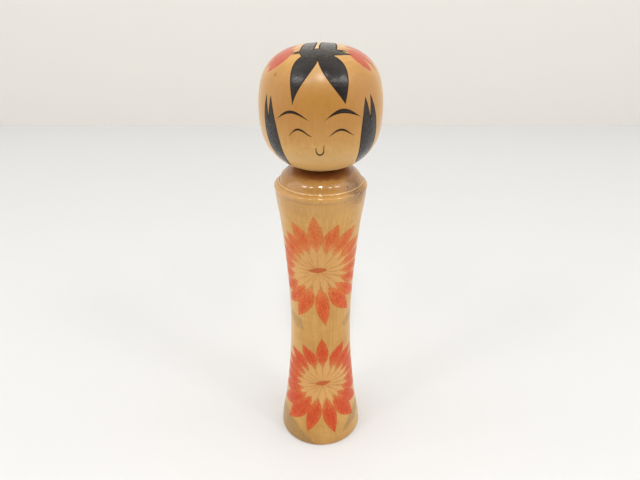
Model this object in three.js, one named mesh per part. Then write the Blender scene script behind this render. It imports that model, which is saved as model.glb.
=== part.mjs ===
// Turned wooden kokeshi doll whose head turns in its body.
// Millimetres, +Z up. The origin is on the axis, in the middle of the base, and the face looks to -Y.
//
// The doll is two turnings. The head is one block with its neck and a bulbed tenon below it. The body
// is a waisted column with an undercut socket in its shoulder, a little narrower at the mouth than the
// bulb. The warm tenon is forced in once while the body spins, and from then on the head turns
// but doesn't come out.
import * as THREE from 'three';

// Driving dimensions.
const HEIGHT = 240;               // base to crown
const BASE_RADIUS = 25.6;         // foot of the body
const WAIST_RADIUS = 18;          // narrowest part of the body
const SHOULDER_RADIUS = 24.5;     // top of the body's side, below the bead
const SHOULDER_HEIGHT = 166;
const GROOVE_RADIUS = 24.25;      // fine groove between the side and the bead
const GROOVE_HEIGHT = 166.8;
const BEAD_RADIUS = 24.9;         // round bead at the shoulder's edge
const RIDGE_RADIUS = 22.6;        // fine turned ridge inside the bead
const RIDGE_HEIGHT = 171.4;
const DOME_HEIGHT = 179.7;        // highest ring of the shoulder dome, round the neck
const HEAD_RADIUS = 31.1;
const NECK_RADIUS = 8.2;          // neck where it enters the body
const TENON_WAIST_RADIUS = 7.5;   // between the neck and the bulb
const TENON_BULB_RADIUS = 8.9;
const TENON_BULB_HEIGHT = 166;    // level of the widest part of the bulb
const TENON_END_HEIGHT = 160;     // flat end of the tenon
const RUNNING_GAP = 0.3;          // left all round the tenon and under it
const EDGE_ROUND = 0.8;           // broken edge at the foot
const SEGMENTS = 64;              // facets round each turning

// A smooth line through [radius, height] points.
function smoothLine(points, divisions) {
  const through = points.map(([radius, height]) => new THREE.Vector2(radius, height));
  return new THREE.SplineCurve(through).getPoints(divisions);
}

// Turns an outline, given from its lowest point on the axis, into a closed solid about +Z.
function turned(name, outline, colour) {
  const geometry = new THREE.LatheGeometry(outline, SEGMENTS);
  geometry.rotateX(Math.PI / 2);
  const material = new THREE.MeshStandardMaterial({ color: colour, roughness: 0.45, metalness: 0 });
  const mesh = new THREE.Mesh(geometry, material);
  mesh.name = name;
  return mesh;
}

// The tenon from its end up to the neck, as a line that is `gap` larger all round. The socket is the
// same line with the running gap, so the two always match.
function tenonLine(gap) {
  const end = TENON_END_HEIGHT - gap;
  return smoothLine([
    [TENON_BULB_RADIUS - 1.9 + gap, end],
    [TENON_BULB_RADIUS - 0.5 + gap, end + 2.4],
    [TENON_BULB_RADIUS + gap, TENON_BULB_HEIGHT],
    [TENON_BULB_RADIUS - 0.6 + gap, TENON_BULB_HEIGHT + 3.4],
    [TENON_WAIST_RADIUS + gap, TENON_BULB_HEIGHT + 7],
    [NECK_RADIUS - 0.3 + gap, TENON_BULB_HEIGHT + 10.5],
  ], 10);
}

function bodyOutline() {
  const foot = [
    new THREE.Vector2(0, 0),
    new THREE.Vector2(BASE_RADIUS - EDGE_ROUND, 0),
    new THREE.Vector2(BASE_RADIUS - EDGE_ROUND * 0.3, EDGE_ROUND * 0.3),
  ];
  const side = smoothLine([
    [BASE_RADIUS, EDGE_ROUND],
    [24.8, 7.5],
    [22.9, 19],
    [21, 33.5],
    [19.6, 48],
    [18.45, 65],
    [WAIST_RADIUS, 82],
    [18.35, 101],
    [19.5, 120],
    [21.1, 139],
    [22.9, 154],
    [SHOULDER_RADIUS, SHOULDER_HEIGHT],
  ], 26);
  const bead = smoothLine([
    [GROOVE_RADIUS, GROOVE_HEIGHT],
    [BEAD_RADIUS, GROOVE_HEIGHT + 1.4],
    [BEAD_RADIUS - 0.6, GROOVE_HEIGHT + 3.2],
    [RIDGE_RADIUS + 0.5, RIDGE_HEIGHT - 0.4],
    [RIDGE_RADIUS, RIDGE_HEIGHT],
  ], 8);
  const dome = smoothLine([
    [RIDGE_RADIUS - 0.6, RIDGE_HEIGHT + 0.3],
    [21.7, 173.4],
    [19.4, 176],
    [16.6, 178.3],
    [13, DOME_HEIGHT - 0.3],
    [NECK_RADIUS + RUNNING_GAP + 0.9, DOME_HEIGHT],
  ], 10);
  const mouth = [new THREE.Vector2(NECK_RADIUS + RUNNING_GAP, DOME_HEIGHT - 0.7)];
  const socket = tenonLine(RUNNING_GAP).reverse();
  const floor = [new THREE.Vector2(0, TENON_END_HEIGHT - RUNNING_GAP)];
  return [...foot, ...side, ...bead, ...dome, ...mouth, ...socket, ...floor];
}

function headOutline() {
  const end = [new THREE.Vector2(0, TENON_END_HEIGHT)];
  const tenon = tenonLine(0);
  const neck = [
    new THREE.Vector2(NECK_RADIUS, DOME_HEIGHT - 0.7),
    new THREE.Vector2(NECK_RADIUS + 0.3, DOME_HEIGHT + 0.4),
  ];
  const skull = smoothLine([
    [NECK_RADIUS + 1.2, DOME_HEIGHT + 0.8],
    [13, 180.8],
    [17, 182],
    [24, 187],
    [28.8, 194.3],
    [30.7, 202.8],
    [HEAD_RADIUS, 211],
    [30.35, 219],
    [28, 227.1],
    [22.8, 233.7],
    [15.4, 237.7],
    [7.7, 239.4],
    [0, HEIGHT],
  ], 36);
  return [...end, ...tenon, ...neck, ...skull];
}

const doll = new THREE.Group();
doll.add(turned('body', bodyOutline(), 0xc39b5f));
doll.add(turned('head', headOutline(), 0xc8a067));

export default doll;
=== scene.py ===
import math
import bpy
import numpy as np
from collections import namedtuple
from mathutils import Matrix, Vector


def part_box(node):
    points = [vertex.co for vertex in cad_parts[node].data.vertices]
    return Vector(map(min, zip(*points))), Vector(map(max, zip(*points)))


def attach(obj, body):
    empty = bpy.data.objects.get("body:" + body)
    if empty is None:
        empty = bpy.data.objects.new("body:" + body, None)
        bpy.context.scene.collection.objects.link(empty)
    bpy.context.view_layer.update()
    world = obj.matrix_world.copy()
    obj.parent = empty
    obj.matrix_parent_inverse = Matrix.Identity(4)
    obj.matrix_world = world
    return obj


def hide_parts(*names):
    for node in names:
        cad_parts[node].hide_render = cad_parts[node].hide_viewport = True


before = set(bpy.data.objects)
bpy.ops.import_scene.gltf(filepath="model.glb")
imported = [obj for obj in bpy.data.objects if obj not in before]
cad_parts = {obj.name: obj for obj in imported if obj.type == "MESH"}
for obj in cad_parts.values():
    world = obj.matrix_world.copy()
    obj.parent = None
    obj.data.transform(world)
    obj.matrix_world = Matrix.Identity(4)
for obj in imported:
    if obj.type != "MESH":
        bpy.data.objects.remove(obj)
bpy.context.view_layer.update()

# The doll's outlines and brushwork are written in millimetres of a doll 240 mm tall and scaled to the frame.
DRAWN_HEIGHT = 240
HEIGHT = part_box("head")[1][2]
MM = HEIGHT / DRAWN_HEIGHT

# Camera: distance and height in heights of the doll, shift to the side and lens in millimetres, pitch in
# degrees.
CAMERA_DISTANCE = 1.128
CAMERA_HEIGHT = 1.1486
CAMERA_ASIDE = -0.4
CAMERA_PITCH = 27.52
CAMERA_LENS = 30.375
SENSOR_WIDTH = 36

# Outline stations, as (radius, height), from the middle of the foot up to the crown.
CHUCK_MARK = [(0, 0.25), (1.2, 0.2), (1.5, 0.05)]
FOOT = [(17.5, 0.02), (18.5, 0), (24.4, 0), (24.9, 0.1), (25.25, 0.35)]
SIDE = [
    (25.55, 0.9), (24.8, 7.5), (22.9, 19), (21, 33.5), (19.6, 48), (18.45, 65), (18, 82),
    (18.35, 101), (19.5, 120), (21.1, 139), (22.9, 154), (24.4, 164.6), (24.5, 166.2),
]
BEAD = [
    (24.5, 166.2), (24.38, 166.5), (24.34, 166.8), (24.52, 167.15), (24.9, 168.2), (24.85, 169.1),
    (24.3, 170), (23.5, 170.5), (22.9, 170.9),
]
RIDGE = [(22.9, 170.9), (22.7, 171.25), (22.4, 171.5), (22.1, 171.4), (21.95, 171.15)]
DOME = [
    (21.95, 171.15), (21.9, 171.7), (21.5, 173.2), (20.9, 174.4), (19.2, 176.2), (16.6, 178.1),
    (13, 179.4), (9.6, 179.7),
]
SOCKET_MOUTH = [(9.1, 179.6), (8.7, 179.3), (8.5, 178.9)]
TENON = [(7.0, 160), (8.4, 162.4), (8.9, 166), (8.3, 169.4), (7.5, 173), (7.9, 176.5), (8.2, 179)]
NECK = [(8.25, 179.6), (8.4, 180.1), (8.8, 180.4)]
SKULL = [
    (9.4, 180.5), (13, 180.8), (17, 182), (20.8, 184.2), (24, 187), (27.1, 191), (28.8, 194.3),
    (30.7, 202.8), (31.1, 211), (30.35, 219), (28, 227.1), (22.8, 233.7), (15.4, 237.7), (7.7, 239.5),
    (0, 240),
]
TENON_END = TENON[0][1]
END_FACE_RADIUS = 5     # an extra ring on the flat end of the tenon and on the socket's floor
RUNNING_GAP = 0.3
EQUATOR = 211
HEAD_RADIUS = 31.1

# Fine rings turned under the foot.
RING_RADII = np.arange(2.5, 16, 2.2)
RING_WIDTH = 1
RING_RIM = 0.05
RING_DEPTH = 0.14

BODY_SEGMENTS = 240
HEAD_SEGMENTS = 288


# ---------------------------------------------------------------- turned shapes

def smooth(points, step):
    """A smooth line through points, with a point about every step."""
    points = np.array(points, float)
    along = np.concatenate([[0], np.cumsum(np.hypot(*np.diff(points, axis=0).T))])
    span = np.diff(along)
    count = len(along)
    system, right = np.eye(count), np.zeros((count, 2))
    for i in range(1, count - 1):
        system[i, i - 1:i + 2] = span[i - 1], 2 * (span[i - 1] + span[i]), span[i]
        right[i] = 6 * ((points[i + 1] - points[i]) / span[i] - (points[i] - points[i - 1]) / span[i - 1])
    curving = np.linalg.solve(system, right)
    at = np.linspace(0, along[-1], max(2, round(along[-1] / step) + 1))
    i = np.clip(np.searchsorted(along, at, side="right") - 1, 0, count - 2)
    width = span[i][:, None]
    back = (along[i + 1] - at)[:, None] / width
    ahead = 1 - back
    bulge = (back ** 3 - back) * curving[i] + (ahead ** 3 - ahead) * curving[i + 1]
    return back * points[i] + ahead * points[i + 1] + bulge * width ** 2 / 6


def turned(name, outline, segments):
    """A closed turning about Z from an outline that starts and ends on the axis, in millimetres."""
    outline = np.array(outline) * MM
    rings = outline[1:-1]
    angles = np.arange(segments) * 2 * math.pi / segments
    circle = np.stack([np.sin(angles), -np.cos(angles)], 1)
    points = np.concatenate([rings[:, None, :1] * circle, np.repeat(rings[:, None, 1:], segments, 1)], 2)
    vertices = np.concatenate([[[0, 0, outline[0][1]]], points.reshape(-1, 3), [[0, 0, outline[-1][1]]]])
    last = len(vertices) - 1
    faces = []
    for k in range(segments):
        after = (k + 1) % segments
        faces.append((0, 1 + after, 1 + k))
        for row in range(len(rings) - 1):
            low, high = 1 + row * segments, 1 + (row + 1) * segments
            faces.append((low + k, low + after, high + after, high + k))
        top = 1 + (len(rings) - 1) * segments
        faces.append((top + k, top + after, last))
    mesh = bpy.data.meshes.new(name)
    mesh.from_pydata(vertices, [], faces)
    mesh.shade_smooth()
    piece = bpy.data.objects.new(name, mesh)
    bpy.context.collection.objects.link(piece)
    return piece


def body_outline():
    rings = []
    for radius in RING_RADII:
        rings += [(radius, RING_RIM), (radius + RING_WIDTH / 2, RING_DEPTH), (radius + RING_WIDTH, RING_RIM)]
    socket = smooth(TENON, step=0.8) + (RUNNING_GAP, 0)
    floor = TENON_END - RUNNING_GAP
    return np.concatenate([
        CHUCK_MARK,
        rings,
        FOOT,
        smooth(SIDE, step=0.9),
        smooth(BEAD, step=0.22)[1:],
        smooth(RIDGE, step=0.12)[1:],
        smooth(DOME, step=0.5)[1:],
        SOCKET_MOUTH,
        socket[::-1],
        [(END_FACE_RADIUS, floor), (0, floor)],
    ])


def head_outline():
    # The line runs on over the crown, so that it is level there, and the far side is then cut off.
    over = [(-r, z) for r, z in SKULL[-2:-4:-1]]
    skull = smooth(SKULL + over, step=0.6)
    skull = skull[skull[:, 0] > 0.2]
    return np.concatenate([
        [(0, TENON_END), (END_FACE_RADIUS, TENON_END)],
        smooth(TENON, step=0.8),
        NECK,
        skull,
        [(0, SKULL[-1][1])],
    ])


def mark_crown_distance(head, outline, segments):
    """Keeps each vertex's distance from the crown, along the surface, as an attribute in millimetres.

    Returns that distance at the head's widest.
    """
    step = np.hypot(*np.diff(outline, axis=0).T)
    to_crown = np.concatenate([np.cumsum(step[::-1])[::-1], [0]])
    values = np.concatenate([to_crown[:1], np.repeat(to_crown[1:-1], segments), to_crown[-1:]])
    attribute = head.data.attributes.new("from_crown", "FLOAT", "POINT")
    attribute.data.foreach_set("value", values.astype(np.float32))
    equator = np.argmin(abs(outline[:, 1] - EQUATOR))
    return float(to_crown[equator])


# ---------------------------------------------------------------- shader formulas

class Signal:
    """A number carried by a shader socket, so that a formula reads as one."""

    def __init__(self, graph, socket):
        self.graph = graph
        self.socket = socket

    def __add__(self, other):
        return self.graph.math("ADD", self, other)

    def __sub__(self, other):
        return self.graph.math("SUBTRACT", self, other)

    def __rsub__(self, other):
        return self.graph.math("SUBTRACT", other, self)

    def __mul__(self, other):
        return self.graph.math("MULTIPLY", self, other)

    def __truediv__(self, other):
        return self.graph.math("DIVIDE", self, other)

    def __pow__(self, other):
        return self.graph.math("POWER", self, other)

    def __abs__(self):
        return self.graph.math("ABSOLUTE", self)

    __radd__ = __add__
    __rmul__ = __mul__


# A layer of colour on the wood: the value of some measure where it begins, the value where it is full, its
# share there, and its colour.
Layer = namedtuple("Layer", "begins full share tone")


class Graph:
    """Adds nodes to a shader tree."""

    def __init__(self, tree):
        self.tree = tree

    def put(self, socket, value):
        if isinstance(value, Signal):
            self.tree.links.new(value.socket, socket)
        else:
            socket.default_value = value

    def node(self, kind, settings=None, **inputs):
        made = self.tree.nodes.new(kind)
        for name, value in (settings or {}).items():
            setattr(made, name, value)
        for name, value in inputs.items():
            self.put(made.inputs[name.replace("_", " ")], value)
        return made

    def math(self, operation, *values):
        made = self.node("ShaderNodeMath", {"operation": operation})
        for socket, value in zip(made.inputs, values):
            self.put(socket, value)
        return Signal(self, made.outputs[0])

    def blend(self, share, first, second):
        """The first colour with a share of the second. A mix node's colours are its sockets A and B."""
        made = self.node("ShaderNodeMix", {"data_type": "RGBA"})
        factor, first_colour, second_colour = (made.inputs[index] for index in (0, 6, 7))
        self.put(factor, share)
        self.put(first_colour, first)
        self.put(second_colour, second)
        return Signal(self, made.outputs[2])

    def ramp(self, value, low, high, start=0.0, end=1.0):
        """Goes smoothly from start to end as value goes from low to high."""
        made = self.node("ShaderNodeMapRange", {"interpolation_type": "SMOOTHSTEP"})
        names = ("Value", "From Min", "From Max", "To Min", "To Max")
        for name, amount in zip(names, (value, low, high, start, end)):
            self.put(made.inputs[name], amount)
        return Signal(self, made.outputs[0])

    def join(self, x, y, z):
        made = self.node("ShaderNodeCombineXYZ")
        for socket, value in zip(made.inputs, (x, y, z)):
            self.put(socket, value)
        return Signal(self, made.outputs[0])

    def noise(self, where, scale, detail=2.0, roughness=0.5):
        """Noise from 0 to 1, with about scale features to the unit of where."""
        made = self.node("ShaderNodeTexNoise", Vector=where, Scale=scale, Detail=detail, Roughness=roughness)
        return Signal(self, made.outputs["Fac"])

    def distance(self, across, up):
        return (across * across + up * up) ** 0.5

    def nearest(self, signals):
        """The least of several signals."""
        signals = list(signals)
        least = signals[0]
        for other in signals[1:]:
            least = self.math("MINIMUM", least, other)
        return least

    def cover(self, value, layer):
        """0 where a layer begins, going smoothly to 1 where it is full."""
        return self.ramp(value, layer.begins, layer.full)

    def lay(self, tint, cover, layer):
        """Lays a layer's colour over tint, as far as cover goes."""
        return self.blend(cover * layer.share, tint, layer.tone)


def colour(red, green, blue):
    """A colour of 0 to 255 as shown on a screen, as the linear one that shaders use."""
    linear = [((c / 255 + 0.055) / 1.055) ** 2.4 if c > 10 else c / 255 / 12.92 for c in (red, green, blue)]
    return (*linear, 1.0)


# ---------------------------------------------------------------- brush strokes

STROKE_INPUTS = ("Across", "Up", "Start across", "Start up", "Cosine", "Sine", "Length", "Half width",
                 "Start taper", "End taper", "Bend", "Rise", "Fall", "Hair", "Tail")


def stroke_group():
    """A node group that gives the distance to the edge of one brush stroke, negative inside it.

    The stroke runs from its start along a bent line. Its half width and its bend are products of powers of
    the distance from either end: a power of 0.5 rounds the end, 1 points it and 2 draws it out to a hair.
    The tail is a hair line that leads up to the start.
    """
    tree = bpy.data.node_groups.new("brush_stroke", "ShaderNodeTree")
    for name in STROKE_INPUTS:
        tree.interface.new_socket(name, in_out="INPUT", socket_type="NodeSocketFloat")
    tree.interface.new_socket("Distance", in_out="OUTPUT", socket_type="NodeSocketFloat")
    graph = Graph(tree)
    source = tree.nodes.new("NodeGroupInput")
    given = {name: Signal(graph, source.outputs[name]) for name in STROKE_INPUTS}
    aside = given["Across"] - given["Start across"]
    above = given["Up"] - given["Start up"]
    along = aside * given["Cosine"] + above * given["Sine"]
    offset = above * given["Cosine"] - aside * given["Sine"]
    reach = graph.math("MINIMUM", graph.math("MAXIMUM", along, 0.0 - given["Tail"]), given["Length"])
    share = graph.math("MAXIMUM", reach / given["Length"], 0.0)
    rest = 1.0 - share
    centre = given["Bend"] * share ** given["Rise"] * rest ** given["Fall"]
    width = given["Half width"] * share ** given["Start taper"] * rest ** given["End taper"]
    width = graph.math("MAXIMUM", width, given["Hair"])
    distance = abs(offset - centre) - width + abs(along - reach)
    sink = tree.nodes.new("NodeGroupOutput")
    tree.links.new(distance.socket, sink.inputs["Distance"])
    return tree


def highest(first, last):
    """The greatest value of share ** first * (1 - share) ** last."""
    peak = first / (first + last)
    return peak ** first * (1 - peak) ** last


def stroke(graph, place, start, end, width,
           bend=0.0, taper=(1.0, 1.0), arch=(1.0, 1.0), hair=-0.05, tail=0.0):
    """The distance to a stroke from start to end.

    width is its full width at its widest, and bend how far its middle line swings to the left of its way.
    """
    run = np.subtract(end, start)
    length = float(np.hypot(*run))
    values = (place[0], place[1], start[0], start[1], run[0] / length, run[1] / length, length,
              width / 2 / highest(*taper), *taper, bend / highest(*arch), *arch, hair, tail)
    made = graph.node("ShaderNodeGroup", {"node_tree": BRUSH})
    for name, value in zip(STROKE_INPUTS, values):
        graph.put(made.inputs[name], value if isinstance(value, Signal) else float(value))
    return Signal(graph, made.outputs["Distance"])


def strokes(graph, place, lines):
    """The distances to strokes given as (start, end, width, the rest)."""
    return [stroke(graph, place, start, end, width, **rest) for start, end, width, rest in lines]


BRUSH = stroke_group()

# The two chrysanthemums: their middles, as (round, up) in millimetres, and their petals, as (bearing in
# degrees, how far out the tip is, width, how far out the petal leaves its hair line).
UPPER_FLOWER = (-1.2, 126)
UPPER_PETALS = [
    (94.6, 34.6, 8.2, 11), (69.4, 31, 8.2, 10.5), (48, 33.4, 8, 11.5), (29, 34, 7, 12), (12, 33, 6.8, 12),
    (-5, 32, 6.8, 12), (-21, 33, 7, 12.5), (-39, 36, 7.8, 11.5), (-57.5, 37, 8.8, 10.5),
    (-84, 38.2, 8.2, 9.5), (-111, 36.6, 8.8, 10), (-128.5, 35, 8.4, 12), (-146, 33, 7.8, 15),
    (-163, 31, 7.4, 15),
    (180, 30, 7, 13), (164, 30, 6.8, 11.5), (149, 30, 7, 11), (135.5, 29.6, 7.2, 11.5), (118, 32.6, 8.8, 11),
]
LOWER_FLOWER = (1.3, 46.5)
LOWER_PETALS = [
    (91, 33, 7.4, 10.5), (63, 30.6, 7.6, 10.5), (43, 31, 7.8, 10.5), (26, 31, 7, 12.5), (10, 32, 6.8, 13.5),
    (-6, 33, 7, 13.5), (-21, 35, 7.6, 12.5), (-37, 38, 8.4, 11), (-53.6, 40, 9.4, 10.5), (-78, 39, 9, 10),
    (-105, 38, 8.8, 10), (-127.5, 42, 9.8, 11), (-144, 42, 8.8, 12), (-159, 37, 7.8, 12.5),
    (-173, 33, 7.2, 13), (173, 32, 7, 11.5), (157, 31, 7, 11), (139, 30.4, 7.8, 11), (116, 29, 7.6, 10.5),
]
BETWEEN_FLOWERS = 84.0
PETAL_TAPER = (1.2, 1.2)
PETAL_ARCH = (0.8, 1.3)
PETAL_BELLY = 1.5     # how far the bellies of the slanting petals swing towards the upright
PETAL_HAIR = 0.1
PETAL_TAIL = 9
STAMENS = [
    ((-7.6, 125.6), (3.8, 127), 3.4, {"taper": (1.3, 1.1)}),
    ((-4, 45.9), (6.6, 47.4), 3.4, {"taper": (1.3, 1.3)}),
]
# Leaves beside and under the flowers, faded to a grey green.
LEAVES = [
    ((-3, 1), (-40, 14), 16, {"taper": (1, 0.5)}),
    ((-10, 84), (-24, 90), 9, {"bend": -1, "taper": (0.8, 0.8)}),
    ((14.4, 7), (36, 18), 10, {"bend": 1, "taper": (1.1, 0.6)}),
    ((14, 85), (24, 92), 6.4, {"bend": -1, "taper": (0.8, 0.8)}),
]

# Strokes of the head, as (start, end, width, the rest). The crown's hair and ribbons are in millimetres from
# the crown, with the face below, and the others in millimetres round and up from the middle of the face where
# the head is widest.
CROWN_HAIR = [
    # fringe
    ((-1.2, -15.5), (-18.2, -39.4), 10.6, {"bend": -1.5, "taper": (0.7, 1.4), "arch": (0.5, 0.8)}),
    ((-0.5, -15.5), (15.2, -39.3), 12, {"bend": 0.4, "taper": (0.75, 1.05)}),
    # topknot
    ((-7.4, -17), (-3.4, 10), 7, {"taper": (0.3, 0.5)}),
    ((2.8, -17), (4.3, 10), 8.6, {"taper": (0.3, 0.5)}),
    # knot and its wisps
    ((-7.2, -14.6), (5.4, -14.6), 9, {"taper": (0.35, 0.35)}),
    ((-3, -13.2), (-14.8, -10.6), 5.8, {"bend": 0.3, "taper": (0.3, 1.4)}),
    ((0, -13.8), (15, -12.2), 7.2, {"bend": -0.3, "taper": (0.4, 1.3)}),
    ((-4, -12.6), (-14, -12.8), 1.6, {"taper": (0.4, 1)}),
    ((4, -11.6), (13.6, -9.4), 1.8, {"taper": (0.4, 1)}),
]
SIDE_HAIR = [
    ((-27, 9.2), (-24, -29), 7.2, {"bend": 0.3, "taper": (0.9, 0.45)}),
    ((-30.6, 9.4), (-25, -27), 5.8, {"bend": -1.3, "taper": (0.9, 0.5)}),
    ((22.9, 9.2), (27, -27), 8, {"bend": -0.8, "taper": (0.9, 0.5)}),
    ((26.6, 10), (29.5, -27), 7.6, {"bend": 1.1, "taper": (0.9, 0.4)}),
]
FACE_LINES = [
    # brows
    ((-22.5, -0.9), (-4.9, 0), 1.35, {"bend": 3.9, "taper": (1.2, 1.3), "arch": (1.3, 1.4)}),
    ((1.2, 0), (20.2, 0.6), 2.0, {"bend": 4.0, "taper": (1.6, 1.6), "arch": (1.2, 1.4)}),
    # eyes
    ((-15.9, -8), (-4.1, -7.2), 1.0, {"bend": 3.4, "taper": (0.9, 0.7), "arch": (1.5, 1.8)}),
    ((3.7, -7.1), (16.6, -7.5), 1.0, {"bend": 3.1, "taper": (0.7, 0.9), "arch": (1.4, 1.8)}),
]
NOSE_MIDDLE = (-0.45, -14.2)
NOSE_RADIUS = 1.9
NOSE_DEPTH = 2.55
NOSE_TOP = 2.1
NOSE_SLANT = 0.35     # the right arm reaches this much higher for each millimetre across
NOSE_LINE = 0.66
FRONT_RIBBONS = [
    ((-12.5, -9), (-28, -12.6), 8.4, {"bend": 0.9, "taper": (0.8, 0.9), "hair": 0.1, "tail": 5}),
    ((-12, -6.5), (-29, -7.5), 7, {"bend": 0.5, "taper": (0.7, 0.9), "hair": 0.1, "tail": 5}),
    ((12.4, -9.4), (26.2, -14.4), 6.4, {"bend": -1.3, "taper": (0.7, 0.75), "hair": 0.1, "tail": 5}),
    ((12, -6.8), (31, -8), 5.2, {"bend": -0.3, "taper": (0.6, 1), "hair": 0.1, "tail": 5}),
]
# The ribbons behind, the same on both sides, as (near, start, far, end, bend).
BACK_RIBBONS = [(11.6, -2, 31, -1.6, 0), (11, 2, 29, 6, 0.6), (9.6, 6, 25, 15, 1), (7, 9, 17, 23, 1)]
RIBBONS = FRONT_RIBBONS + [
    ((side * near, start), (side * far, end), 5.6, {"bend": side * bend, "taper": (0.5, 0.9), "tail": 4})
    for side in (-1, 1)
    for near, start, far, end, bend in BACK_RIBBONS
]


def nose(graph, place):
    """The distance to the nose: half a ring, open at the top, with straight ends."""
    across = place[0] - NOSE_MIDDLE[0]
    up = place[1] - NOSE_MIDDLE[1]
    below = graph.math("MINIMUM", up, 0.0) * (NOSE_RADIUS / NOSE_DEPTH)
    ring = abs(graph.distance(across, below) - NOSE_RADIUS)
    thinner = graph.ramp(up, -NOSE_DEPTH, NOSE_TOP, NOSE_LINE / 2, NOSE_LINE / 4)
    return graph.math("MAXIMUM", ring - thinner, up - across * NOSE_SLANT - NOSE_TOP)


def petals(graph, place, centre, petal_list):
    """The distance to a flower's petals, each a hair line near the middle that opens into a leaf shape."""
    made = []
    for bearing, tip, width, start in petal_list:
        way = np.array((math.cos(math.radians(bearing)), math.sin(math.radians(bearing))))
        belly = PETAL_BELLY * math.sin(math.radians(2 * bearing))
        made.append(stroke(graph, place, centre + way * start, centre + way * tip, width,
                           bend=belly, taper=PETAL_TAPER, arch=PETAL_ARCH, hair=PETAL_HAIR, tail=PETAL_TAIL))
    return graph.nearest(made)


# ---------------------------------------------------------------- wood and its wear

# Noises, as (features to the millimetre, detail, roughness).
RING_WANDER_NOISE = (0.03, 2.0)
FIBRE_NOISE = (1.6, 3.0, 0.6)
TONE_NOISE = (0.04, 3.0)
CURL_NOISE = (0.35, 2.0)
PORE_NOISE = (3.2, 1.0)
CLOUD_NOISE = (0.3, 4.0, 0.6)
SPECK_NOISE = (1.4, 3.0, 0.7)
BLEED_NOISE = (1.8, 2.0)
BRUSH_NOISE = (1.0, 3.0, 0.6)
RIBBON_NOISE = (1.5, 3.0, 0.6)
BODY_WAVE_NOISE = (0.25, 1.0)
HEAD_WAVE_NOISE = (0.36, 2.0, 0.5)

# How much slower the noises of the grain change along it, and the curl's across it.
RING_STRETCH = 0.25
FIBRE_STRETCH = 0.03
TONE_STRETCH = 0.5
CURL_STRETCH = 0.3
PORE_STRETCH = 0.14
BLEED_STRETCH = 0.3

# The wood's yearly rings, in radians to the millimetre, how far they wander and where their middle is, both
# in millimetres.
RING_PITCH = 2.6
RING_WANDER = 9.0
BODY_PITH = (38, 26)
HEAD_PITH = (-30, 34)
# What each part of the grain adds to the wood's tone, which runs from dark at -0.3 to pale at 0.3.
RING_TONE = 0.02
FIBRE_TONE = 0.46
SLOW_TONE = 0.7
CURL_TONE = 0.22
PORE_TONE = 0.24
WOOD_TONES = (-0.3, 0.3)
WOOD_DARK = colour(178, 127, 56)
WOOD_PALE = colour(209, 162, 88)
PORE_EDGE = (0.64, 0.76)
FIBRE_EDGE = (0.3, 0.7)

# Wear, painted light and painted shade of the body. Heights, radii and distances are in millimetres and
# bearings in radians. A mark's radius is the body's there, and turns a bearing into a distance. Tuples of two
# or four numbers
# are what a ramp takes: low, high and, where it doesn't go from 0 to 1, start and end. A ragged value says
# how far a noise moves an edge.
# The body is darker towards the foot and towards the shoulder.
FOOT_DARKENING = Layer(40, 2, 0.3, colour(150, 104, 52))
FOOT_DARKENING_RAGGED = 14.0
SHOULDER_DARKENING = Layer(158, 172, 0.28, colour(156, 106, 50))
SHOULDER_DARKENING_RAGGED = 8.0
# Painted shade of the head on the dome.
DOME_PAINTED_SHADE = Layer(170, 174, 0.5, colour(144, 96, 42))
# Painted light: the body's sides are paler, below the dome.
SIDES_PAINTED_LIGHT = Layer(0.7, 1.5, 0.3, colour(216, 178, 122))
SIDES_PAINTED_LIGHT_TOP = (172, 166)
# A reddish stain round the neck, darkened further with painted shade of the head.
NECK_STAIN_AND_SHADE = Layer(18.9, 16.8, 0.78, colour(116, 54, 14))
NECK_STAIN_AND_SHADE_RAGGED = 3.0
NECK_STAIN_AND_SHADE_RUNS = 2.0
NECK_STAIN_AND_SHADE_ROUND = (-0.3, 0.9, 0.45, 1.0)     # two cosines of the bearing, and the stain's share at each
DOME_FOOT = 172.0
PATCH = Layer(12, 2, 0.3, colour(128, 86, 40))
PATCH_BEARING = 0.93
PATCH_RADIUS = 23.0
PATCH_HEIGHT = 171.0
PATCH_SQUASH = 1.1
PATCH_RAGGED = 16.0
MOULD_SHARE = 0.85
MOULD_COLOUR = colour(88, 56, 26)
MOULD_EDGE = (0.42, 0.58, 0.25, 1.0)
MOULD_CLOUDS = 1.2
DENT = Layer(1.0, 0.35, 0.7, colour(88, 52, 24))
DENT_BEARING = 0.677
DENT_RADIUS = 21.5
DENT_HEIGHT = 173.3
# The fine ridge is worn pale and painted as a highlight.
RIDGE_WEAR_AND_HIGHLIGHT = Layer(0.5, 0.2, 0.5, colour(232, 192, 132))
RIDGE_WEAR_AND_HIGHLIGHT_RADIUS = 22.35
RIDGE_WEAR_AND_HIGHLIGHT_FOOT = 171.1
# Painted shade in the groove outside the ridge.
GROOVE_PAINTED_SHADE = Layer(0.55, 0.1, 0.35, colour(110, 68, 28))
GROOVE_RADIUS = 23.0
GROOVE_HEIGHT = 170.8
GROOVE_FLATTEN = 0.6
BEAD_SHADE = Layer(161, 166.5, 0.1, colour(140, 90, 40))
BEAD_SHADE_TOP = (168, 167)

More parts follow.
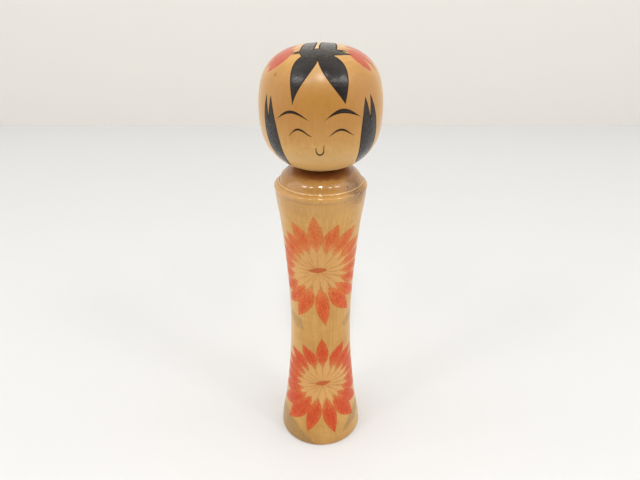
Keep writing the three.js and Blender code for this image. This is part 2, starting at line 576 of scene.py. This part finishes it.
# Paint of the body.
LEAF_COLOUR = colour(112, 94, 58)
LEAF_SHARES = (40, 60, 0.56, 0.46)            # two heights, and the paint's share at each
LEAF_EDGE = (1.0, -1.8)
LEAF_RAGGED = 5.0
LEAF_SPECKS = (0.3, 0.62, 0.35, 1.0)
FLOWER_MIDDLE = Layer(22, 14, 0.4, colour(224, 168, 104))
STAMEN_INK = Layer(0.4, -0.4, 0.92, colour(178, 78, 22))
RED_THIN = colour(214, 90, 28)
RED_THICK = colour(192, 58, 14)
RED_MIX = (0.38, 0.66)
RED_CLOUDS = 0.6
RED_PIGMENT = colour(184, 42, 10)
LOWER_PIGMENT = 0.35
CORE_PIGMENT = 0.2
RED_RIM_SHARE = 0.3
RED_RIM_COLOUR = colour(156, 62, 16)
BROWNED_RED = Layer(15, 11, 0.9, colour(150, 92, 40))
INK_EDGE = (0.3, -0.3)
EDGE_BLEED = 0.5
DRY_BRUSH = (0.36, 0.64, -0.5, 0.5)
DRY_BRUSH_REACH = (20, 13, 0.2, 1.1)
RIM_DEPTH = (-0.9, -0.2)
CORE_DEPTH = (-0.6, -3.0)
# How much ink the petals carry, and what their place, their middle, the streaks and the specks add to it.
INK_LOAD = 0.8
LOWER_LOAD = 0.08
TOP_LOAD = (158, 120, -0.22, 0.0)
INNER_LOAD = (22, 12, 0.0, -0.25)
CORE_LOAD = 0.1
STREAK_LOAD = 0.9
SPECK_LOAD = 0.8
MOST_INK = 0.96
BRUSH_STREAKS = 16.0                          # how fine the streaks are, round a flower
BRUSH_STRETCH = 0.1                           # and how little they change on their way out

# Wear, paint, painted light and painted shade of the head. Distances are in millimetres.
# Painted shade round the brow.
BROW_PAINTED_SHADE_SHARE = 0.68
BROW_PAINTED_SHADE_COLOUR = colour(162, 104, 24)
BROW_PAINTED_SHADE_SPANS = ((-19, 4), (32, 12))        # heights on the face, from below and from above
# Painted light on the chin.
CHIN_PAINTED_LIGHT = Layer(-6, -26, 0.5, colour(226, 184, 120))
# Painted light on the head's sides.
HEAD_SIDES_PAINTED_LIGHT = Layer(0.7, 1.5, 0.5, colour(222, 184, 130))
# A painted reflection makes the crown paler.
CROWN_PAINTED_REFLECTION = Layer(15, 6, 0.5, colour(228, 200, 156))
# A painted highlight on the parting of the fringe.
PARTING_HIGHLIGHT_REACH = (44, 24)
PARTING_HIGHLIGHT_BEARING = (0.6, 0.25)
PARTING_HIGHLIGHT_SHARE = 0.2
SPOT = Layer(1.3, 0.4, 0.55, colour(110, 66, 26))
SPOT_PLACE = (-23.5, -19.7)
RIBBON_THIN = colour(192, 54, 38)
RIBBON_THICK = colour(168, 32, 18)
RIBBON_MIX = (0.35, 0.65)
RIBBON_STRETCH = 0.08
RIBBON_RAGGED = 2.0
RIBBON_LOAD = 0.84
RIBBON_STREAK_LOAD = 0.9
RIBBON_SPECK_LOAD = 0.3
MOST_RIBBON_INK = 0.95
BLACK_EDGE = (0.14, -0.12)
BLACK_SHARE = 0.985
BLACK_THIN = colour(26, 12, 5)
BLACK_POOLED = colour(14, 12, 16)
POOLED_DEPTH = (-0.1, -1.0)
GLOSS_SPECKS = 0.5
GLOSS_EDGE = (0.38, 0.62)

# Relief in millimetres: how much each part of the surface rises or sinks.
FIBRE_RELIEF = 0.01
PORE_RELIEF = 0.01
RED_RELIEF = 0.01
BLACK_RELIEF = 0.012
BODY_WAVE_RELIEF = 0.02
HEAD_WAVE_RELIEF = 0.03
BLACK_WAVE_RELIEF = 0.22
DENT_RELIEF = 0.12

# Shine: the wood's roughness at weak and strong fibres, what clouds, paint and wear add to it, and the wax.
BODY_ROUGHNESS = (0.34, 0.46)
HEAD_ROUGHNESS = (0.42, 0.52)
CLOUD_ROUGHNESS = 0.2
RED_ROUGHNESS = 0.08
STAIN_ROUGHNESS = 0.1
PATCH_ROUGHNESS = 0.15
BLACK_ROUGHNESS = 0.85
POOLED_SMOOTHER = 0.57
GLOSS_SMOOTHER = 0.08
BODY_WAX = (152, 168, 0.36, 0.9)              # two heights, and the coat's weight at each
BODY_WAX_CLOUDS = (0.3, 0.7, 1.0, 0.8)
RED_WAX_LOSS = 0.5
HEAD_WAX = 0.62
POOLED_WAX = 0.4
SHEEN_ROUGHNESS = 0.35
SHEEN_TINT = (1.0, 0.93, 0.84, 1.0)


def cylinder_place(graph):
    """Position in millimetres, with the bearing round the doll, 0 at the front, and the radius."""
    made = graph.node("ShaderNodeTexCoord")
    apart = graph.node("ShaderNodeSeparateXYZ", Vector=Signal(graph, made.outputs["Object"]))
    x, y, z = (Signal(graph, socket) / MM for socket in apart.outputs)
    bearing = graph.math("ARCTAN2", x, 0.0 - y)
    return x, y, z, bearing, graph.distance(x, y)


def wood(graph, x, y, z, pith):
    """Aged mizuki, as its colour, its fibres and its pores.

    The wood has faint rings about an off-centre pith, fine upright fibres, short pores, a little curl across
    the fibres and a slow change of tone. Each is a noise stretched along or across the grain.
    """
    wander = graph.noise(graph.join(x, y, z * RING_STRETCH), *RING_WANDER_NOISE)
    ring_distance = ((x - pith[0]) ** 2 + (y - pith[1]) ** 2) ** 0.5 + wander * RING_WANDER
    rings = graph.math("SINE", ring_distance * RING_PITCH)
    fibre = graph.noise(graph.join(x, y, z * FIBRE_STRETCH), *FIBRE_NOISE)
    tone = graph.noise(graph.join(x, y, z * TONE_STRETCH), *TONE_NOISE)
    curl = graph.noise(graph.join(x * CURL_STRETCH, y * CURL_STRETCH, z), *CURL_NOISE)
    pores = graph.ramp(graph.noise(graph.join(x, y, z * PORE_STRETCH), *PORE_NOISE), *PORE_EDGE)
    value = (rings * RING_TONE + (fibre - 0.5) * FIBRE_TONE + (tone - 0.5) * SLOW_TONE
             + (curl - 0.5) * CURL_TONE - pores * PORE_TONE)
    base = graph.blend(graph.ramp(value, *WOOD_TONES), WOOD_DARK, WOOD_PALE)
    return base, fibre, pores


def blotches(graph, x, y, z):
    """Unevenness at two sizes: clouds of some millimetres and specks of less than one."""
    cloud = graph.noise(graph.join(x, y, z), *CLOUD_NOISE)
    speck = graph.noise(graph.join(x, y, z), *SPECK_NOISE)
    return cloud, speck


def flower_streaks(graph, place, centre):
    """Fine streaks of the brush that fan out from a flower's middle, and the distance from that middle."""
    across = place[0] - centre[0]
    up = place[1] - centre[1]
    far = graph.math("MAXIMUM", graph.distance(across, up), 0.5)
    fan = graph.join(across / far * BRUSH_STREAKS, up / far * BRUSH_STREAKS, far * BRUSH_STRETCH)
    return graph.noise(fan, *BRUSH_NOISE), far


def new_material(name):
    material = bpy.data.materials.new(name)
    material.use_nodes = True
    return material, Graph(material.node_tree), material.node_tree.nodes["Principled BSDF"]


def finish_surface(graph, surface, tint, roughness, coat, height, sheen):
    """Joins up a surface: colour, roughness, wax coat, sheen, and its relief in millimetres."""
    graph.put(surface.inputs["Base Color"], tint)
    graph.put(surface.inputs["Roughness"], roughness)
    graph.put(surface.inputs["Coat Weight"], coat)
    surface.inputs["Sheen Weight"].default_value = sheen
    surface.inputs["Sheen Roughness"].default_value = SHEEN_ROUGHNESS
    surface.inputs["Sheen Tint"].default_value = SHEEN_TINT
    relief = graph.node("ShaderNodeBump", Height=height, Strength=1.0, Distance=MM)
    graph.put(surface.inputs["Normal"], Signal(graph, relief.outputs[0]))


def body_material():
    material, graph, surface = new_material("painted_body_wood")
    x, y, z, bearing, radius = cylinder_place(graph)
    tint, fibre, pores = wood(graph, x, y, z, BODY_PITH)
    cloud, speck = blotches(graph, x, y, z)
    grain_bleed = graph.noise(graph.join(x, y, z * BLEED_STRETCH), *BLEED_NOISE) - 0.5

    # Darker towards the foot and the shoulder, painted shade of the head on the dome, and painted light on
    # the sides.
    tint = graph.lay(tint, graph.cover(z + cloud * FOOT_DARKENING_RAGGED, FOOT_DARKENING), FOOT_DARKENING)
    tint = graph.lay(tint, graph.cover(z + cloud * SHOULDER_DARKENING_RAGGED, SHOULDER_DARKENING), SHOULDER_DARKENING)
    # Painted shade of the head darkens the dome.
    tint = graph.lay(tint, graph.cover(z, DOME_PAINTED_SHADE), DOME_PAINTED_SHADE)
    # Painted light on the sides, kept off the dome.
    sides = graph.cover(abs(bearing), SIDES_PAINTED_LIGHT) * graph.ramp(z, *SIDES_PAINTED_LIGHT_TOP)
    tint = graph.lay(tint, sides, SIDES_PAINTED_LIGHT)

    place = (bearing * radius, z)
    leaf = graph.nearest(strokes(graph, place, LEAVES))
    leaf_ink = graph.ramp(leaf + (cloud - 0.5) * LEAF_RAGGED, *LEAF_EDGE) * graph.ramp(speck, *LEAF_SPECKS)
    tint = graph.blend(leaf_ink * graph.ramp(z, *LEAF_SHARES), tint, LEAF_COLOUR)

    # The flowers' ink is thin enough for the wood to show, thickest in the lower flower and in the middle of
    # each petal, and browner at its rim. The brush was driest near a flower's middle, where edges are ragged.
    upper_streak, upper_far = flower_streaks(graph, place, UPPER_FLOWER)
    lower_streak, lower_far = flower_streaks(graph, place, LOWER_FLOWER)
    is_lower = graph.math("LESS_THAN", z, BETWEEN_FLOWERS)
    streak = upper_streak + (lower_streak - upper_streak) * is_lower
    far = upper_far + (lower_far - upper_far) * is_lower
    edge = graph.nearest([petals(graph, place, UPPER_FLOWER, UPPER_PETALS),
                          petals(graph, place, LOWER_FLOWER, LOWER_PETALS)])
    dry_brush = graph.ramp(streak, *DRY_BRUSH)
    edge = edge + grain_bleed * EDGE_BLEED + dry_brush * graph.ramp(far, *DRY_BRUSH_REACH)
    ink = graph.ramp(edge, *INK_EDGE)
    rim = ink * graph.ramp(edge, *RIM_DEPTH)
    core = graph.ramp(edge, *CORE_DEPTH)
    load = (INK_LOAD + is_lower * LOWER_LOAD + graph.ramp(z, *TOP_LOAD) + graph.ramp(far, *INNER_LOAD)
            + core * CORE_LOAD + (streak - 0.5) * STREAK_LOAD + (speck - 0.5) * SPECK_LOAD)
    red = graph.blend(graph.ramp(speck + (cloud - 0.5) * RED_CLOUDS, *RED_MIX), RED_THIN, RED_THICK)
    red = graph.blend(is_lower * LOWER_PIGMENT + core * CORE_PIGMENT, red, RED_PIGMENT)
    red = graph.blend(rim * RED_RIM_SHARE, red, RED_RIM_COLOUR)
    red = graph.lay(red, graph.cover(far, BROWNED_RED), BROWNED_RED)
    tint = graph.lay(tint, graph.cover(far, FLOWER_MIDDLE), FLOWER_MIDDLE)
    tint = graph.blend(ink * graph.math("MINIMUM", load, MOST_INK), tint, red)
    stamens = graph.nearest(strokes(graph, place, STAMENS))
    tint = graph.lay(tint, graph.cover(stamens + grain_bleed, STAMEN_INK), STAMEN_INK)

    # A reddish stain round the neck with painted shade of the head in it, a mouldy patch and a dent on the
    # shoulder.
    towards_front = graph.math("COSINE", bearing)
    on_dome = graph.math("GREATER_THAN", z, DOME_FOOT)
    stain_and_shade_reach = radius + (cloud - 0.5) * NECK_STAIN_AND_SHADE_RAGGED + (fibre - 0.5) * NECK_STAIN_AND_SHADE_RUNS
    stain_and_shade = graph.cover(stain_and_shade_reach, NECK_STAIN_AND_SHADE) * graph.ramp(towards_front, *NECK_STAIN_AND_SHADE_ROUND) * on_dome
    tint = graph.lay(tint, stain_and_shade, NECK_STAIN_AND_SHADE)
    patch_round = (bearing - PATCH_BEARING) * PATCH_RADIUS
    patch_distance = graph.distance(patch_round, (z - PATCH_HEIGHT) * PATCH_SQUASH)
    patch = graph.cover(patch_distance + (cloud - 0.5) * PATCH_RAGGED, PATCH)
    tint = graph.lay(tint, patch, PATCH)
    mould = graph.ramp(speck + (cloud - 0.5) * MOULD_CLOUDS, *MOULD_EDGE)
    tint = graph.blend(patch * mould * MOULD_SHARE, tint, MOULD_COLOUR)
    dent_distance = graph.distance((bearing - DENT_BEARING) * DENT_RADIUS, z - DENT_HEIGHT)
    dent = graph.cover(dent_distance, DENT)
    tint = graph.lay(tint, dent, DENT)

    # The fine ridge is worn pale with a painted highlight, the groove outside it has painted shade, and
    # painted shade darkens the side under the bead.
    ridge_distance = abs(radius - RIDGE_WEAR_AND_HIGHLIGHT_RADIUS)
    ridge = graph.cover(ridge_distance, RIDGE_WEAR_AND_HIGHLIGHT) * graph.math("GREATER_THAN", z, RIDGE_WEAR_AND_HIGHLIGHT_FOOT)
    tint = graph.lay(tint, ridge, RIDGE_WEAR_AND_HIGHLIGHT)
    groove = abs(radius - GROOVE_RADIUS) + abs(z - GROOVE_HEIGHT) * GROOVE_FLATTEN
    # Painted shade in the groove.
    tint = graph.lay(tint, graph.cover(groove, GROOVE_PAINTED_SHADE), GROOVE_PAINTED_SHADE)
    under_bead = graph.cover(z, BEAD_SHADE) * graph.ramp(z, *BEAD_SHADE_TOP)
    tint = graph.lay(tint, under_bead, BEAD_SHADE)

    wave = graph.noise(graph.join(x, y, z), *BODY_WAVE_NOISE)
    height = ((fibre - 0.5) * FIBRE_RELIEF - pores * PORE_RELIEF + ink * RED_RELIEF
              + (wave - 0.5) * BODY_WAVE_RELIEF - dent * DENT_RELIEF)
    roughness = (graph.ramp(fibre, *FIBRE_EDGE, *BODY_ROUGHNESS) + ink * RED_ROUGHNESS
                 + stain_and_shade * STAIN_ROUGHNESS + patch * PATCH_ROUGHNESS + (cloud - 0.5) * CLOUD_ROUGHNESS)
    wax = graph.ramp(z, *BODY_WAX) * graph.ramp(cloud, *BODY_WAX_CLOUDS) * (1.0 - ink * RED_WAX_LOSS)
    finish_surface(graph, surface, tint, roughness, wax, height, sheen=0.05)
    surface.inputs["Coat Roughness"].default_value = 0.1
    surface.inputs["Specular IOR Level"].default_value = 0.18
    surface.inputs["Coat IOR"].default_value = 1.6
    return material


def head_material(equator_distance):
    material, graph, surface = new_material("painted_head_wood")
    x, y, z, bearing, _ = cylinder_place(graph)
    tint, fibre, pores = wood(graph, x, y, z, HEAD_PITH)
    cloud, speck = blotches(graph, x, y, z)
    far = Signal(graph, graph.node("ShaderNodeAttribute", {"attribute_name": "from_crown"}).outputs["Fac"])
    crown = (far * graph.math("SINE", bearing), 0.0 - far * graph.math("COSINE", bearing))
    face = (bearing * HEAD_RADIUS, equator_distance - far)

    # The wood has painted shade round the brow, deepening its colour, painted light that makes it paler on
    # the chin and the sides, a painted reflection on the crown and a painted highlight on the parting of the
    # fringe.
    from_below, from_above = BROW_PAINTED_SHADE_SPANS
    brow = graph.ramp(face[1], *from_below) * graph.ramp(face[1], *from_above)
    tint = graph.blend(brow * BROW_PAINTED_SHADE_SHARE, tint, BROW_PAINTED_SHADE_COLOUR)
    # Painted light on the chin and the head's sides.
    tint = graph.lay(tint, graph.cover(face[1], CHIN_PAINTED_LIGHT), CHIN_PAINTED_LIGHT)
    tint = graph.lay(tint, graph.cover(abs(bearing), HEAD_SIDES_PAINTED_LIGHT), HEAD_SIDES_PAINTED_LIGHT)
    # Painted highlight on the parting.
    parting_highlight = graph.ramp(far, *PARTING_HIGHLIGHT_REACH) * graph.ramp(abs(bearing), *PARTING_HIGHLIGHT_BEARING) * PARTING_HIGHLIGHT_SHARE
    # A painted reflection on the crown and a painted highlight on the parting.
    tint = graph.blend(graph.cover(far, CROWN_PAINTED_REFLECTION) * CROWN_PAINTED_REFLECTION.share + parting_highlight, tint, CROWN_PAINTED_REFLECTION.tone)
    spot_distance = graph.distance(crown[0] - SPOT_PLACE[0], crown[1] - SPOT_PLACE[1])
    tint = graph.lay(tint, graph.cover(spot_distance + (speck - 0.5), SPOT), SPOT)

    ribbon_edge = graph.nearest(strokes(graph, crown, RIBBONS))
    streak = graph.noise(graph.join(crown[1], 0.0, crown[0] * RIBBON_STRETCH), *RIBBON_NOISE)
    ribbon = graph.ramp(ribbon_edge + (streak - 0.5) * RIBBON_RAGGED, *INK_EDGE)
    load = RIBBON_LOAD + (streak - 0.5) * RIBBON_STREAK_LOAD + (speck - 0.5) * RIBBON_SPECK_LOAD
    red = graph.blend(graph.ramp(speck, *RIBBON_MIX), RIBBON_THIN, RIBBON_THICK)
    tint = graph.blend(ribbon * graph.math("MINIMUM", load, MOST_RIBBON_INK), tint, red)

    # Thin lines of black ink sink into the wood and look brown, and broad strokes lie on it and look blue.
    black = graph.nearest(strokes(graph, crown, CROWN_HAIR) + strokes(graph, face, SIDE_HAIR + FACE_LINES)
                          + [nose(graph, face)])
    ink = graph.ramp(black, *BLACK_EDGE)
    pooled = graph.ramp(black, *POOLED_DEPTH)
    tone = graph.blend(pooled, BLACK_THIN, BLACK_POOLED)
    tint = graph.blend(ink * BLACK_SHARE, tint, tone)

    # Brushed ink dries in slight waves, glossy here and dull there.
    wave = graph.noise(graph.join(x, y, z), *HEAD_WAVE_NOISE)
    gloss = graph.ramp(wave + (speck - 0.5) * GLOSS_SPECKS, *GLOSS_EDGE)
    height = ((fibre - 0.5) * FIBRE_RELIEF - pores * PORE_RELIEF + ink * BLACK_RELIEF
              + (wave - 0.5) * (HEAD_WAVE_RELIEF + ink * BLACK_WAVE_RELIEF))
    wood_roughness = graph.ramp(fibre, *FIBRE_EDGE, *HEAD_ROUGHNESS) + (cloud - 0.5) * CLOUD_ROUGHNESS
    ink_roughness = BLACK_ROUGHNESS - pooled * (POOLED_SMOOTHER + gloss * GLOSS_SMOOTHER)
    roughness = wood_roughness * (1.0 - ink) + ink * ink_roughness
    wax = HEAD_WAX * (1.0 - ink) + ink * pooled * POOLED_WAX
    finish_surface(graph, surface, tint, roughness, wax, height, sheen=0.02)
    surface.inputs["Coat Roughness"].default_value = 0.28
    surface.inputs["Specular IOR Level"].default_value = 0.22
    return material


# ---------------------------------------------------------------- pieces

body = turned("turned_body", body_outline(), BODY_SEGMENTS)
body.data.materials.append(body_material())
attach(body, "body")
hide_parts("body")

head_line = head_outline()
head = turned("turned_head", head_line, HEAD_SEGMENTS)
head.data.materials.append(head_material(mark_crown_distance(head, head_line, HEAD_SEGMENTS)))
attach(head, "head")
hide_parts("head")


# ---------------------------------------------------------------- floor, light and camera

# Distances of the room in metres: the wall behind the doll, and how far floor and wall go.
WALL = 3.0 * HEIGHT
REACH = 12 * HEIGHT
FLOOR_COLOUR = colour(218, 218, 218)
WALL_COLOUR = colour(236, 233, 227)
SHEET_ROUGHNESS = 0.7
SHEET_SPECULAR = 0.2

# The world's light: its colour, its strength where the room is closed and where it is open, and how much a
# direction to the side counts as open.
SKY_COLOUR = (1, 0.985, 0.965, 1)
SKY_SPAN = (-0.5, 0.8)
SKY_STRENGTH = (0.14, 1.75)
SKY_SIDES = 0.9

# Ceiling lamps, as (aside, near, high, size, power in watts), with places and sizes in heights of the doll,
# and the height that they aim at.
LAMP_AIM = 0.7
LAMPS = [
    (-6.5, -4.4, 8, 2.4, 8),
    (6.5, -4.4, 8, 2.4, 9),
    (-3.8, -6, 8, 1.6, 4.5),
    (3.8, -6, 8, 1.6, 4.5),
    (0, -4.2, 8, 1, 7),
    (0, -5.6, 8, 1, 7),
]


def sheet(name, corners, tint):
    mesh = bpy.data.meshes.new(name)
    mesh.from_pydata(corners, [], [(0, 1, 2, 3)])
    made = bpy.data.objects.new(name, mesh)
    bpy.context.collection.objects.link(made)
    material, _, surface = new_material(name)
    surface.inputs["Base Color"].default_value = tint
    surface.inputs["Roughness"].default_value = SHEET_ROUGHNESS
    surface.inputs["Specular IOR Level"].default_value = SHEET_SPECULAR
    mesh.materials.append(material)


def lamp(name, place, size, power):
    light = bpy.data.lights.new(name, "AREA")
    light.shape = "DISK"
    light.size = size * HEIGHT
    light.energy = power
    made = bpy.data.objects.new(name, light)
    made.location = [HEIGHT * p for p in place]
    aim = Vector((0, 0, LAMP_AIM * HEIGHT)) - made.location
    made.rotation_euler = aim.to_track_quat("-Z", "Y").to_euler()
    bpy.context.collection.objects.link(made)


near_left = (-REACH, -REACH, 0)
near_right = (REACH, -REACH, 0)
far_left = (-REACH, WALL, 0)
far_right = (REACH, WALL, 0)
sheet("floor", [near_left, near_right, far_right, far_left], FLOOR_COLOUR)
sheet("wall", [far_left, far_right, (REACH, WALL, REACH), (-REACH, WALL, REACH)], WALL_COLOUR)

# The room is bright behind the doll and at its sides, and dim on the camera's side.
world = bpy.data.worlds.new("room")
world.use_nodes = True
sky = Graph(world.node_tree)
direction = Signal(sky, sky.node("ShaderNodeTexCoord").outputs["Generated"])
toward = sky.node("ShaderNodeSeparateXYZ", Vector=direction)
aside, ahead = (Signal(sky, toward.outputs[axis]) for axis in "XY")
openness = ahead + abs(aside) * SKY_SIDES
backdrop = world.node_tree.nodes["Background"]
backdrop.inputs["Color"].default_value = SKY_COLOUR
sky.put(backdrop.inputs["Strength"], sky.ramp(openness, *SKY_SPAN, *SKY_STRENGTH))
bpy.context.scene.world = world

for number, (aside, near, high, size, power) in enumerate(LAMPS):
    lamp(f"ceiling_lamp_{number}", (aside, near, high), size, power)

lens = bpy.data.cameras.new("camera")
lens.sensor_width = SENSOR_WIDTH
lens.lens = CAMERA_LENS
camera = bpy.data.objects.new("camera", lens)
camera.location = (CAMERA_ASIDE * MM, -CAMERA_DISTANCE * HEIGHT, CAMERA_HEIGHT * HEIGHT)
camera.rotation_euler = (math.radians(90 - CAMERA_PITCH), 0, 0)
bpy.context.collection.objects.link(camera)
bpy.context.scene.camera = camera
bpy.context.scene.view_settings.view_transform = "Standard"
